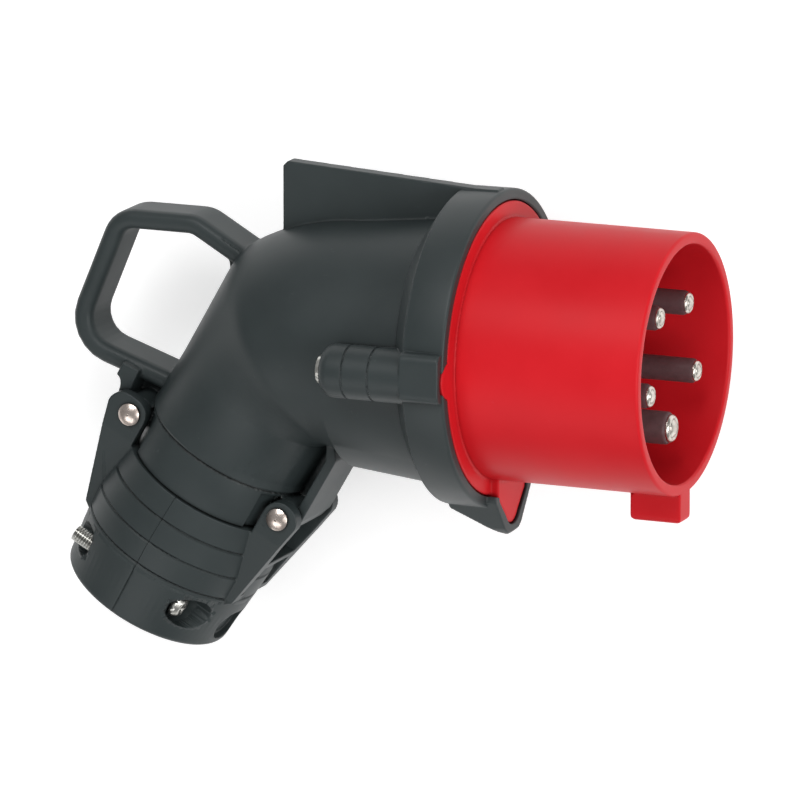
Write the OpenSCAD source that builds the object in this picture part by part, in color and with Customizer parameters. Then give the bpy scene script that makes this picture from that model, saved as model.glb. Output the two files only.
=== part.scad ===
// Angled five-pole industrial plug with a loop handle and a two-jaw cable clamp.
// It is drawn as it is held: the pins point along +X, the fin stands up along +Z and the
// centre of the front rim is the origin. at_rest() then lays it on its side.

/* [Shroud] */
// Outer diameter of the shroud
shroud_d = 63.5; // [61:0.5:65]
// Thickness of the shroud's wall
shroud_wall = 2.75; // [2:0.25:3.25]
// Length of the shroud in front of its flange
shroud_len = 47; // [44:1:50]
// Depth of the floor behind the rim
floor_depth = 43.5; // [40:0.5:43.5]
// Rounding of the rim
rim_round = 0.7; // [0.3:0.1:0.9]
// Width of the key under the rim
key_w = 6.5; // [5:0.5:8]
// Length of the key along the shroud
key_len = 13; // [10:1:16]
// Height of the key above the shroud
key_h = 7; // [5.5:0.5:8]
// Rounding of the key's corners
key_round = 1.2; // [0.6:0.2:1.6]

/* [Flange] */
// Diameter of the flange behind the shroud
flange_d = 71.5; // [70.5:0.5:72.5]
// Thickness of the flange
flange_t = 3.5; // [3:0.25:4.5]
// Thickness of the gasket behind the flange
gasket_t = 1.2; // [0.8:0.1:1.6]
// Distance from the axis to the tip of the lower ear
ear_reach = 43; // [42:0.5:44]
// Width of the lower ear where it leaves the flange
ear_w = 17; // [15:0.5:18]
// Step by which the lower ear stands in front of the flange
ear_step = 2; // [1:0.25:2.5]

/* [Contacts] */
// Diameter of the circle that the pins stand on
pin_circle = 32; // [31:0.5:33]
// Diameter of the phase and neutral pins
pin_d = 6; // [5:0.25:6.5]
// Diameter of the earth pin
earth_d = 8; // [7:0.25:8.5]
// Depth of the pin tips behind the rim
tip_depth = 1.5; // [1:0.5:5]
// Rounding of the pin tips as a share of a pin's radius
tip_round = 0.9; // [0.5:0.05:0.95]
// Diameter of a terminal barrel
terminal_d = 10; // [9:0.25:10.5]
// Length of a terminal barrel
terminal_len = 19; // [18:0.5:21]
// Bore for the wire in a terminal barrel
wire_d = 5.5; // [4.5:0.25:6]
// Diameter of a terminal screw
terminal_screw_d = 3.5; // [3:0.25:4]
// Thickness of the plate that keeps the pins in
retainer_t = 2.5; // [2:0.25:3.5]

/* [Collar] */
// Diameter of the collar at its front edge
collar_front_d = 77.4; // [76.6:0.2:78.6]
// Diameter of the collar at its widest
collar_d = 77.2; // [76.4:0.2:79]
// Length of the collar from its front edge to its widest
collar_len = 10.5; // [9:0.5:12]
// Length of the slope behind the collar
collar_slope = 4.8; // [3.5:0.4:6]
// Distance from the axis to the tip of the lower lobe
lobe_reach = 45.8; // [45.5:0.25:47]
// Width of the lower lobe where it leaves the collar
lobe_w = 22.5; // [21:0.5:25]

/* [Housing screws] */
// Distance from the axis to each side screw
side_screw_y = 34.5; // [34.25:0.25:35]
// Height of the side screws
side_screw_z = -1; // [-2:0.5:0]
// Diameter of a side screw
side_screw_d = 4; // [3.5:0.25:4.25]
// Diameter of a side screw's head
side_head_d = 6.2; // [5.6:0.2:6.6]
// Diameter of the boss round a side screw
boss_d = 13; // [12:0.2:13.4]
// Distance from one groove round the boss to the next
boss_ring = 6.8; // [6:0.2:7.4]
// Depth of the grooves round the boss
boss_groove = 0.35; // [0.2:0.05:0.6]

/* [Elbow] */
// Angle of the elbow
bend = 60; // [57:1:62]
// Distance from the flange's front to the corner of the elbow
barrel_len = 54.6; // [53:0.2:57]
// Distance from the axis down to the line that the bend turns about
bend_r = 33; // [32.5:0.5:36]
// Height of the barrel's top under the collar
barrel_front_top = 31.5; // [31:0.1:32]
// Depth of the barrel's bottom under the collar
barrel_front_bottom = 34.6; // [33.8:0.1:35]
// Height of the barrel's top where the bend starts
barrel_rear_top = 28.8; // [27:0.1:29]
// Depth of the barrel's bottom where the bend starts
barrel_rear_bottom = 32; // [31:0.1:32.2]
// Radius at the end of the bend
neck_r = 22.1; // [21.9:0.1:22.6]
// Radius of the back at the end of the bend
neck_back_r = 21.2; // [20.9:0.1:22.2]
// Radius of the elbow's end edge
elbow_end_r = 21.6; // [21.3:0.1:22.1]
// Thickness of the housing wall
wall = 3; // [2.5:0.25:3.5]

/* [Fin] */
// Thickness of the fin
fin_t = 4; // [3:0.25:5]
// Distance from the elbow's corner back to the fin's back edge
fin_reach = 2.7; // [0.5:0.1:3.5]
// Height of the fin's back corner above the axis
fin_back_h = 42; // [40:0.5:45]
// Height of the fin's front end above the axis
fin_front_h = 39.1; // [38.9:0.1:39.6]

/* [Handle] */
// Distance from the elbow's corner back to the handle's grip
handle_reach = 57.6; // [52:0.2:60]
// Height of the handle's top above the axis
handle_top = 25.1; // [22:0.1:27]
// Width of the handle's band
handle_w = 14; // [12:0.5:15]
// Thickness of the handle's band
handle_t = 4.9; // [4:0.1:5.2]
// Rounding of the band's edges
handle_round = 2.1; // [1:0.1:2.2]

/* [Neck] */
// Distance from the elbow's corner to its end edge
elbow_end = 35; // [34.5:0.25:35.5]
// Distance from the elbow's corner to the end of the neck
neck_end = 45; // [44.5:0.25:45.5]
// Radius of the neck band
band_r = 20.3; // [19.9:0.1:20.4]
// Radius of the neck's sides, between the ears of the two jaws
cheek_r = 21.2; // [20.8:0.1:21.4]
// Radius of the pocket for the cable seal
seal_r = 17.2; // [16.6:0.2:17.4]
// Depth of the pocket for the cable seal
seal_pocket = 18; // [16:0.5:20]
// Hole through the cable seal
seal_hole_d = 19; // [16:0.5:22]
// Thickness of the slip ring under the seal
slip_ring_t = 3; // [2:0.25:4]

/* [Clamp] */
// Distance of the hinge pins from the elbow's corner, along the cable
hinge_s = 38.4; // [38:0.2:38.8]
// Distance of the hinge pins from the cable's axis
hinge_e = 22.7; // [22.6:0.1:23.2]
// Diameter of a hinge pin
hinge_d = 3.2; // [2.8:0.1:3.6]
// Diameter of a hinge pin's head
hinge_head_d = 5.5; // [4.8:0.1:6]
// Height of a hinge pin's head
hinge_head_h = 1.2; // [1:0.1:1.6]
// Distance between the outer faces of a jaw's ears
ears_w = 26; // [25:0.5:27]
// Thickness of a jaw's ear
ear_t = 3.5; // [3:0.25:3.75]
// Radius of a jaw's ear round its pin
ear_r = 4.2; // [3.9:0.1:4.2]
// Gap between the neck and the jaws
jaw_gap = 0.35; // [0.3:0.05:0.6]
// Length of the jaws
jaw_len = 35.7; // [34:0.5:38]
// Radius of the jaws at their upper edge
jaw_top_r = 22.2; // [21.6:0.1:22.4]
// Radius of the jaws at their widest
jaw_r = 23.7; // [23:0.1:24]
// Radius of the jaws at their lower end
jaw_end_r = 21.8; // [20.8:0.1:22]
// Wall of the jaws above the saddle
jaw_wall = 3.2; // [2.6:0.2:3.6]
// Radius of the saddle that grips the cable
saddle_r = 11; // [9.5:0.25:11.25]
// Pitch of the grooves round the jaws
groove_pitch = 6.6; // [6:0.1:7]
// Depth of the grooves round the jaws
groove = 0.45; // [0.2:0.05:0.8]
// Distance between the two clamp screws
screw_spacing = 31; // [30.5:0.25:31.5]
// Distance of the clamp screws from the elbow's corner, along the cable
screw_s = 71.4; // [71:0.2:72]
// Diameter of a clamp screw
screw_d = 4; // [3.5:0.25:4]
// Length of a clamp screw under its head
screw_len = 30.5; // [28:0.5:32]
// Diameter of a clamp screw's head
screw_head_d = 6.2; // [5.8:0.2:6.6]
// Distance from the cable's axis to the floor under a screw head
screw_seat = 11; // [10.5:0.25:11.5]
// Width of a clamp nut across its flats
nut_w = 7; // [6.5:0.25:7]
// Depth of the hollow in the middle of each jaw
hollow = 2.5; // [1:0.25:3.5]
// Thickness of a clamp nut
nut_t = 3.2; // [2.6:0.2:3.4]

/* [Resting] */
// Roll of the plug as it lies on its side
rest_roll = 8.66; // [0:0.01:90]
// Pitch of the plug as it lies on its side
rest_pitch = -7.79; // [-12:0.01:12]

/* [Hidden] */
$fn = 72;

fit = 0.05;      // running clearance of a pin in its hole, on the radius
slip = 0.25;     // clearance of a piece that drops into its pocket
apart = 0.35;    // gap between pieces that move past each other
eps = 0.01;      // overlap of joined solids

shroud_r = shroud_d / 2;
flange_r = flange_d / 2;
flange_back = shroud_len + flange_t;
seat = flange_back + gasket_t;      // distance from the rim to the ledge that carries the gasket
terminal_back = flange_back + slip + terminal_len;
elbow_dist = shroud_len + barrel_len;       // distance from the rim to the corner of the elbow
collar_back = shroud_len + collar_len;
pin_angles = [-90, -18, 54, 126, 198];      // earth, then neutral and the three phases, seen from the front

ear_tip_r = 4.4;    // radius of the lower ear's tip
ear_flank = 30;     // slope of the lower ear's flanks
gasket_r = 30;      // radius of the hole in the gasket
side_ear_r = 4.6;   // radius of the flange's side ears
pillar_r = 3.6;     // radius of the pillars that the side screws enter
pillar_back = flange_back + 11.5;
sleeve_r = 7;       // radius of the sleeves round the terminal barrels
hub_r = 10;         // radius of the block between the sleeves
shoulder = 0.4;     // step in a pin's radius where it enters the floor
window_w = 7;       // width of the openings above the terminal screws
window_sill = 3;    // length of sleeve that stays closed in front of them
retainer_back = terminal_back + retainer_t;
retainer_screw_d = 4;
retainer_screw_len = 12;

collar_wall = 4.4;          // thickness of the barrel's wall under the collar
corner_blend = 0.7;         // how softly the barrel's top turns into the back of the neck
body_sides = 48;
bend_steps = 8;
cavity_sides = 32;
cavity_steps = 6;
lobe_front = ear_step + 0.5 - shroud_len;
lobe_wall = 1.8;            // height of the lobe's wall under the lower ear
side_block_h = 12;          // height of the collar's side blocks
side_block_round = 2;
boss_back = collar_back + 3 * boss_ring + 1.4;
boss_nose = (boss_d - side_head_d) / 2 - 0.3;       // rounding of the boss's free end
seal_ledge = 2.6;           // width of the ledge that carries the cable seal

// Corners [back, z, radius] of the handle's centre line behind the elbow's corner, from the elbow's
// top to the back hinge
handle_corners = [[6.4, 14.5], [24.8, handle_top, 6], [handle_reach - 12.8, handle_top, 6],
                  [handle_reach, -5.8, 9], [29.9, -15.3]];
root_r = 9.3;               // radius between the handle's upper arm and the elbow
root_sweep = 85;
lug_r = 4;                  // radius of the hinge bosses on the housing
lug_web = 3;
lug_fillet = 2.2;           // radius between the back lug and the handle

jaw_start = neck_end + jaw_gap;
jaw_end = jaw_start + jaw_len;
jaw_widest = jaw_start + 2 * groove_pitch;
jaw_rib_s = 52;             // place of the rib across a jaw's pocket
jaw_hollow_s = screw_s + 3;     // place of the hollow in the middle of each jaw
ear_foot_w = 21;            // width over the ears where they run out on the jaw
back_ear_shift = 2.4;       // how far a jaw's ears reach past the pin on the outside
front_ear_shift = 0.8;
hollow_w = 12.5;            // width and height of the hollow in the middle of each jaw
hollow_h = 8.5;
slot_play = 1.3;            // half the length of a screw slot's straight sides
nut_front = 3.6;            // distance from the parting plane to a nut
nut_play_x = 0.8;
nut_play_y = 0.2;
nut_play_s = 0.9;

shell_colour = [0.20, 0.225, 0.225];
red_colour = [0.80, 0.13, 0.15];
steel_colour = [0.80, 0.80, 0.78];
brass_colour = [0.80, 0.74, 0.58];
rubber_colour = [0.10, 0.10, 0.10];

// Frames and drawing aids

module at_rest() {
    rotate([0, rest_pitch, 0]) rotate([rest_roll - 90, 0, 0]) children();
}

// Turns a profile of [radius, x] points about the plug's axis
module about_x() {
    rotate([0, 90, 0]) rotate_extrude() children();
}

// Draws a [y, z] outline from x = from to x = to
module along_x(from, to) {
    translate([from, 0, 0]) rotate([90, 0, 90]) linear_extrude(to - from) children();
}

// Draws an [x, z] outline across the middle plane, from y = from to y = to
module across(from, to) {
    translate([0, to, 0]) rotate([90, 0, 0]) linear_extrude(to - from) children();
}

// A round bar along x
module bar_x(from, to, r) {
    translate([from, 0, 0]) rotate([0, 90, 0]) cylinder(h = to - from, r = r);
}

// The cable's frame: z runs out along the cable, +x is the back of the elbow, y is unchanged
module on_cable() {
    translate([-elbow_dist, 0, 0]) rotate([0, 270 - bend, 0]) children();
}

// Draws its children on the far side, +y, and their mirror image on the near side
module both_sides() {
    children();
    mirror([0, 1, 0]) children();
}

// Points on an arc in a plane
function arc(centre, r, from, to, steps = 8) =
    [for (i = [0:steps]) let (a = from + (to - from) * i / steps) centre + r * [cos(a), sin(a)]];

// A ring of points about centre [x, z], square to a path that has turned down by turn
function ring(centre, turn, r, sides) =
    [for (i = [0:sides - 1]) let (a = 360 * i / sides)
        [centre[0] - r * sin(a) * sin(turn), r * cos(a), centre[1] + r * sin(a) * cos(turn)]];

// Covers a row of rings that have equal numbers of points, and caps both ends
module skin(rings) {
    n = len(rings[0]);
    last = len(rings) - 1;
    sides = [for (j = [0:last - 1], i = [0:n - 1])
        let (a = j * n + i, b = j * n + (i + 1) % n)
        [[b, b + n, a + n], [b, a + n, a]]];
    polyhedron(
        points = [for (one = rings) each one],
        faces = concat(
            [[for (i = [n - 1:-1:0]) i]],
            [for (pair = sides) each pair],
            [[for (i = [0:n - 1]) last * n + i]]));
}

// Shroud with its floor, flange, key, ears and terminal sleeves

// Outline of the lower ear, or of the lobe and the pocket round it: width, reach and radius of its tip
function ear_outline(w, reach, tip_r) =
    concat([[w / 2, -shroud_r + 1], [w / 2, -flange_r]],
           arc([0, tip_r - reach], tip_r, -ear_flank, ear_flank - 180),
           [[-w / 2, -flange_r], [-w / 2, -shroud_r + 1]]);

// The space above the lobe's back, which slopes up away from its front, less a wall
module over_lobe_back(inset) {
    across(-lobe_w, lobe_w)
        polygon([[-collar_back, 0], [-collar_back, inset - collar_d / 2],
                 [lobe_front - 1, inset - lobe_reach], [lobe_front + inset, 1 + inset - lobe_reach],
                 [lobe_front + inset, 0]]);
}

// Places a piece that is drawn round the x axis at one of the five contacts, +y pointing outwards
module at_contact(i) {
    rotate([pin_angles[i], 0, 0]) translate([0, pin_circle / 2, 0]) children();
}

module at_side_screws() {
    both_sides() translate([0, side_screw_y, side_screw_z]) children();
}

// Outline of the key between two sides, with its lower corners rounded
module key_outline(from, to) {
    low = -shroud_r - key_h + key_round;
    polygon(concat([[from, -shroud_r + 1]], arc([from + key_round, low], key_round, 180, 270, 4),
                   arc([to - key_round, low], key_round, 270, 360, 4), [[to, -shroud_r + 1]]));
}

module key() {
    intersection() {
        across(-key_w / 2, key_w / 2) key_outline(-key_len, 0);
        along_x(-key_len, 0) key_outline(-key_w / 2, key_w / 2);
    }
}

module shroud_profile() {
    inner = shroud_r - shroud_wall;
    polygon(concat([[0, -flange_back], [flange_r, -flange_back], [flange_r, -shroud_len],
                    [shroud_r, -shroud_len]],
                   arc([shroud_r - rim_round, -rim_round], rim_round, 0, 90, 4),
                   arc([inner + rim_round, -rim_round], rim_round, 90, 180, 4),
                   [[inner, -floor_depth], [0, -floor_depth]]));
}

module contact_carrier() {
    color(red_colour) at_rest() difference() {
        union() {
            about_x() shroud_profile();
            key();
            intersection() {
                along_x(-flange_back, ear_step - shroud_len)
                    polygon(ear_outline(ear_w, ear_reach, ear_tip_r));
                over_lobe_back(lobe_wall + slip);
            }
            at_side_screws() {
                bar_x(-flange_back, -shroud_len, side_ear_r);
                bar_x(-pillar_back, -flange_back + eps, pillar_r);
            }
            bar_x(-terminal_back, -flange_back + eps, hub_r);
            for (i = [0:4]) at_contact(i) bar_x(-terminal_back, -flange_back + eps, sleeve_r);
        }
        for (i = [0:4]) at_contact(i) {
            bar_x(-flange_back - eps, 0, contact_d(i) / 2 + shoulder + fit);
            bar_x(-terminal_back - eps, -flange_back, terminal_d / 2 + fit);
            translate([-terminal_back - eps, 0, -window_w / 2])
                cube([terminal_len - window_sill, sleeve_r + 1, window_w]);
        }
        at_side_screws() bar_x(-pillar_back - eps, -flange_back, side_screw_d / 2 + fit);
        bar_x(-terminal_back - eps, retainer_screw_len - terminal_back, retainer_screw_d / 2 + fit);
    }
}

module contact_retainer() {
    color(red_colour) at_rest() difference() {
        bar_x(-retainer_back, -terminal_back, pin_circle / 2 + terminal_d / 2 + 1);
        for (i = [0:4]) at_contact(i) bar_x(-retainer_back - eps, -terminal_back + eps, wire_d / 2 + 0.5);
        bar_x(-retainer_back - eps, -terminal_back + eps, retainer_screw_d / 2 + fit);
    }
}

module retainer_screw() {
    color(steel_colour) at_rest() {
        bar_x(-retainer_back - 2, -retainer_back, retainer_screw_d);
        bar_x(-retainer_back - eps, retainer_screw_len - 1 - terminal_back, retainer_screw_d / 2);
    }
}

module flange_gasket() {
    color(rubber_colour) at_rest() difference() {
        bar_x(-seat, -flange_back, flange_r);
        bar_x(-seat - eps, eps - flange_back, gasket_r);
        at_side_screws() bar_x(-seat - eps, eps - flange_back, pillar_r + slip);
    }
}

// Contacts and their screws

function contact_d(i) = i == 0 ? earth_d : pin_d;

// Distances from the rim to a contact's two terminal screws
function terminal_screw_x() = [for (share = [0.42, 0.78]) -flange_back - share * terminal_len];

module contact(i) {
    r = contact_d(i) / 2;
    dome = r * tip_round;
    color(brass_colour) at_rest() at_contact(i) difference() {
        about_x() polygon(concat([[0, -terminal_back], [terminal_d / 2, -terminal_back],
                                  [terminal_d / 2, -flange_back - slip], [r + shoulder, -flange_back - slip],
                                  [r + shoulder, -floor_depth], [r, -floor_depth]],
                                 arc([r - dome, -tip_depth - dome], dome, 0, 90, 5), [[0, -tip_depth]]));
        bar_x(-terminal_back - eps, -flange_back - 0.2 * terminal_len, wire_d / 2);
        for (x = terminal_screw_x()) translate([x, 0, 0]) rotate([-90, 0, 0])
            cylinder(h = terminal_d, r = terminal_screw_d / 2 + fit);
    }
}

module terminal_screws(i) {
    color(steel_colour) at_rest() at_contact(i) for (x = terminal_screw_x())
        translate([x, 0, 0]) rotate([-90, 0, 0]) difference() {
            union() {
                translate([0, 0, 1]) cylinder(h = terminal_d / 2, r = terminal_screw_d / 2);
                translate([0, 0, terminal_d / 2 + fit]) cylinder(h = 2, r = terminal_screw_d / 2 + 1);
            }
            translate([-terminal_screw_d, -0.4, terminal_d / 2 + 1.1]) cube([2 * terminal_screw_d, 0.8, 2]);
        }
}

module side_screw(side) {
    head_r = side_head_d / 2;
    head_t = 1.1;
    color(steel_colour) at_rest() translate([0, side * side_screw_y, side_screw_z]) {
        about_x()
            polygon([[0, -boss_back], [head_r, -boss_back], [head_r, -boss_back - head_t / 2],
                     [head_r - 0.6, -boss_back - head_t], [0, -boss_back - head_t]]);
        bar_x(-boss_back - eps, -flange_back - 1, side_screw_d / 2);
    }
}

// Housing: barrel, elbow and neck with the screw bosses and hinge lugs. The collar, the fin and the
// handle are moulded with it, and are nodes of their own that meet it face to face.

// A point [x, z] on the cable's axis, s beyond the elbow's corner
function cable_axis(s) = [-elbow_dist - s * cos(bend), -s * sin(bend)];

// The smaller of two lengths, rounded off where they cross
function soft_min(a, b) = -corner_blend * ln(exp(-a / corner_blend) + exp(-b / corner_blend));

// The ring of the body's surface at the share t of the bend, moved inwards by inset. Its nearest and
// farthest points from the line that the bend turns about lie on the inner and the outer outline.
function bend_ring(t, inset, sides) =
    let (turn = bend * t,
         near = bend_r - barrel_rear_bottom + (barrel_rear_bottom - neck_r) * t,
         far = soft_min(bend_r + barrel_rear_top, (bend_r + neck_back_r) / cos(bend - turn)),
         middle = (near + far) / 2)
    ring([bend_r * tan(bend / 2) - elbow_dist - middle * sin(turn), middle * cos(turn) - bend_r],
         turn, (far - near) / 2 - inset, sides);

// The ring under the collar, at a distance from the rim
function front_ring(dist, inset, sides) =
    ring([-dist, (barrel_front_top - barrel_front_bottom) / 2], 0,
         (barrel_front_top + barrel_front_bottom) / 2 - inset, sides);

module body_outside() {
    skin(concat([front_ring(collar_back, 0, body_sides)],
                [for (k = [0:bend_steps]) bend_ring(k / bend_steps, 0, body_sides)],
                [ring(cable_axis(elbow_end), bend, elbow_end_r, body_sides)]));
}

module body_inside() {
    skin(concat([front_ring(seat - 0.5, collar_wall, cavity_sides)],
                [for (k = [0:cavity_steps]) bend_ring(k / cavity_steps, wall, cavity_sides)],
                [ring(cable_axis(neck_end - seal_pocket + eps), bend, seal_r - seal_ledge, cavity_sides)]));
}

module collar_outside() {
    front = collar_front_d / 2;
    lip = 0.8;
    r = side_block_round;
    y = side_screw_y + boss_d / 2 - r;
    slope_back = -collar_back - collar_slope;
    about_x() polygon([[0, slope_back], [barrel_front_top + 0.3, slope_back], [collar_d / 2, -collar_back],
                       [front, -shroud_len - lip], [front - lip, -shroud_len], [0, -shroud_len]]);
    both_sides() along_x(-collar_back, -shroud_len - lip / 2)
        polygon(concat([[0, -side_block_h / 2]], arc([y, r - side_block_h / 2], r, -90, 0, 5),
                       arc([y, side_block_h / 2 - r], r, 0, 90, 5), [[0, side_block_h / 2]]));
    lobe();
}

module lobe() {
    intersection() {
        along_x(-collar_back, lobe_front) polygon(ear_outline(lobe_w, lobe_reach, ear_tip_r + 3));
        over_lobe_back(0);
    }
}

module fin_outline() {
    back = -elbow_dist - fin_reach;
    chamfer = 1.2;
    polygon([[back, 0], [back, fin_back_h - chamfer], [back + chamfer, fin_back_h],
             [3 - collar_back, fin_front_h], [-shroud_len - 1, fin_front_h], [-shroud_len - 1, 0]]);
}

module side_bosses() {
    r = boss_d / 2;
    nose = arc([r - boss_nose, boss_nose - boss_back], boss_nose, -90, 0, 6);
    grooves = [for (k = [1:2], step = [-1, 0, 1])
        [r - (step == 0 ? boss_groove : 0), k * boss_ring + step * boss_groove - boss_back]];
    at_side_screws() about_x()
        polygon(concat([[0, -boss_back]], nose, grooves, [[r, -collar_back], [0, -collar_back]]));
}

// Rounds one corner [x, z, radius] of a path that comes from before and goes on to after
function rounded(before, at, after, steps = 6) =
    let (p = [at[0], at[1]], u = unit([before[0], before[1]] - p), v = unit([after[0], after[1]] - p),
         half = acos(u * v) / 2, centre = p + unit(u + v) * at[2] / sin(half),
         from = p + u * at[2] / tan(half) - centre, to = p + v * at[2] / tan(half) - centre,
         a = atan2(from[1], from[0]), b = atan2(to[1], to[0]),
         sweep = b - a > 180 ? b - a - 360 : b - a < -180 ? b - a + 360 : b - a)
    [for (i = [0:steps]) centre + at[2] * [cos(a + sweep * i / steps), sin(a + sweep * i / steps)]];

function unit(v) = v / norm(v);

// A band of the handle's section along a path of [x, z] points
module band(path) {
    last = len(path) - 1;
    section = [for (corner = [[1, 1], [-1, 1], [-1, -1], [1, -1]], step = [0:3])
        let (a = (corner[1] > 0 ? (corner[0] > 0 ? 0 : 90) : (corner[0] < 0 ? 180 : 270)) + 30 * step)
        [corner[0] * (handle_w / 2 - handle_round) + handle_round * cos(a),
         corner[1] * (handle_t / 2 - handle_round) + handle_round * sin(a)]];
    skin([for (i = [0:last]) let (t = unit(path[min(i + 1, last)] - path[max(i - 1, 0)]))
        [for (p = section) [path[i][0] + p[1] * t[1], p[0], path[i][1] - p[1] * t[0]]]]);
}

module handle_outside() {
    c = [for (corner = handle_corners) [-elbow_dist - corner[0], corner[1], corner[2]]];
    last = len(c) - 1;
    band(concat([[c[0][0], c[0][1]]], [for (i = [1:last - 1]) each rounded(c[i - 1], c[i], c[i + 1])],
                [[c[last][0], c[last][1]]]));
    // The web where the upper arm leaves the elbow
    across(-handle_w / 2 + handle_round, handle_w / 2 - handle_round)
        polygon(concat(arc([c[1][0], c[1][1] - root_r - handle_t / 2 + 0.6], root_r, 0, root_sweep),
                       [[c[1][0] + 6, c[1][1] - 3], [c[0][0] + 2, c[0][1] + 2], [c[0][0], c[0][1] - 8]]));
}

// Hinge lugs on the cable's frame: a round boss for the pin, a rim along the outside and a web
module hinge_lug(side, rim, web) {
    half = ears_w / 2 - ear_t - apart;
    translate([side * hinge_e, 0, hinge_s]) rotate([90, 0, 0])
        cylinder(h = 2 * half, r = lug_r, center = true);
    across(-half, half) polygon(rim);
    across(-lug_web / 2, lug_web / 2) polygon(web);
}

module back_lug() {
    edge = hinge_e + lug_r + 2.4;
    hinge_lug(1, concat([[edge + lug_fillet + 0.4, hinge_s - 8.5]],
                        arc([edge + lug_fillet + 0.4, hinge_s - 4.9 + lug_fillet], lug_fillet, 270, 190, 4),
                        [[edge, hinge_s - 1.4], [edge - 2, hinge_s + 1], [edge - 3.5, hinge_s],
                         [edge - 2.4, hinge_s - 3], [edge - 2, hinge_s - 9]]),
              [[band_r - 4, hinge_s - 15], [edge - 1, hinge_s - 9], [edge - 1, hinge_s],
               [band_r - 4, hinge_s + 3]]);
}

module front_lug() {
    edge = hinge_e + lug_r + 0.5;
    hinge_lug(-1, [[-edge, hinge_s - 1], [-edge, hinge_s - 19.5], [2.8 - edge, hinge_s - 23.5],
                   [5 - edge, hinge_s - 23.5], [2.4 - edge, hinge_s - 18.5], [2.4 - edge, hinge_s - 1],
                   [1 - edge, hinge_s + 1.5]],
              [[1 - edge, hinge_s], [1 - edge, hinge_s - 18], [4 - band_r, hinge_s - 21],
               [4 - band_r, hinge_s + 3]]);
}

module neck() {
    cylinder(h = neck_end, r = band_r);
    intersection() {
        cylinder(h = neck_end, r = cheek_r);
        both_sides() translate([-jaw_r, ears_w / 2 + 2 * apart, 0]) cube([2 * jaw_r, jaw_r, neck_end]);
    }
}

module housing_outside() {
    body_outside();
    side_bosses();
    on_cable() {
        neck();
        back_lug();
        front_lug();
    }
}

// What is open inside the housing and the collar: the seats of carrier, gasket and side screws, the
// room for the wires, the seal's pocket and the holes for the hinge pins
module rooms() {
    body_inside();
    bar_x(-seat, 1, flange_r + slip);
    intersection() {
        along_x(-seat, 0) polygon(ear_outline(ear_w + 2 * slip, ear_reach + slip, ear_tip_r + slip));
        over_lobe_back(lobe_wall);
    }
    at_side_screws() {
        bar_x(-seat, -shroud_len + 1, side_ear_r + slip);
        bar_x(-pillar_back - slip, -shroud_len, pillar_r + slip);
        bar_x(-boss_back - 1, -shroud_len, side_screw_d / 2 + slip);
    }
    on_cable() {
        translate([0, 0, neck_end - seal_pocket]) cylinder(h = seal_pocket + 1, r = seal_r);
        for (side = [-1, 1]) translate([side * hinge_e, 0, hinge_s]) rotate([90, 0, 0])
            cylinder(h = ears_w, r = hinge_d / 2 + fit, center = true);
    }
}

module housing() {
    color(shell_colour) at_rest() difference() {
        housing_outside();
        rooms();
    }
}

module collar() {
    color(shell_colour) at_rest() difference() {
        collar_outside();
        housing_outside();
        rooms();
    }
}

module fin() {
    color(shell_colour) at_rest() difference() {
        across(-fin_t / 2, fin_t / 2) fin_outline();
        housing_outside();
        collar_outside();
    }
}

module handle() {
    color(shell_colour) at_rest() difference() {
        handle_outside();
        housing_outside();
    }
}

// Cable seal and slip ring in the neck

module cable_seal() {
    top = neck_end - slip_ring_t - fit;
    bottom = neck_end - seal_pocket;
    hole = seal_hole_d / 2;
    color(rubber_colour) at_rest() on_cable() rotate_extrude()
        polygon([[hole, bottom + 3], [hole + 3, bottom], [seal_r - fit, bottom], [seal_r - fit, top],
                 [hole + 2, top], [hole, top - 2], [hole, top - 5], [hole + 1, top - 6],
                 [hole + 1, bottom + 4]]);
}

module slip_ring() {
    color(shell_colour) at_rest() on_cable() translate([0, 0, neck_end - slip_ring_t]) difference() {
        cylinder(h = slip_ring_t, r = seal_r - fit);
        translate([0, 0, -eps]) cylinder(h = slip_ring_t + 2 * eps, r = seal_hole_d / 2 + 1.5);
    }
}

// Hinge pins, jaws, clamp screws and nuts on the cable's frame, with the back jaw on the +x side

module hinge_pin(side) {
    reach = ears_w / 2 + apart;
    head_r = hinge_head_d / 2;
    dome = hinge_head_h * 0.7;
    dome_r = (head_r * head_r + dome * dome) / (2 * dome);
    color(steel_colour) at_rest() on_cable() translate([side * hinge_e, 0, hinge_s]) rotate([90, 0, 0]) {
        cylinder(h = 2 * reach, r = hinge_d / 2, center = true);
        for (turn = [0, 180]) rotate([turn, 0, 0]) translate([0, 0, reach - eps]) rotate_extrude()
            polygon(concat([[0, 0], [head_r, 0]],
                           arc([0, hinge_head_h - dome_r], dome_r, acos(head_r / dome_r), 90, 6)));
    }
}

// Radius of the jaws at a distance s from the elbow's corner
function jaw_radius(s) =
    s < jaw_widest ? jaw_top_r + (jaw_r - jaw_top_r) * (s - jaw_start) / (jaw_widest - jaw_start)
                   : jaw_r - (jaw_r - jaw_end_r) * (s - jaw_widest) / (jaw_end - jaw_widest);

module jaw_outside() {
    round_r = 2;
    rotate_extrude() polygon(concat(
        [[0, jaw_start], [jaw_top_r, jaw_start]],
        [for (k = [1:3], step = [-1, 0, 1]) let (s = jaw_start + k * groove_pitch + step * groove)
            [jaw_radius(s) - (step == 0 ? groove : 0), s]],
        arc([jaw_end_r - round_r, jaw_end - round_r], round_r, 0, 90, 5), [[0, jaw_end]]));
}

module jaw_inside() {
    saddle_top = screw_s - 6.5;
    upper = jaw_top_r - jaw_wall;
    rotate_extrude()
        polygon([[0, jaw_start - 1], [upper, jaw_start - 1], [upper, saddle_top - 5], [saddle_r, saddle_top],
                 [saddle_r, jaw_end - 2], [saddle_r + 2, jaw_end + eps], [0, jaw_end + eps]]);
}

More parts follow.
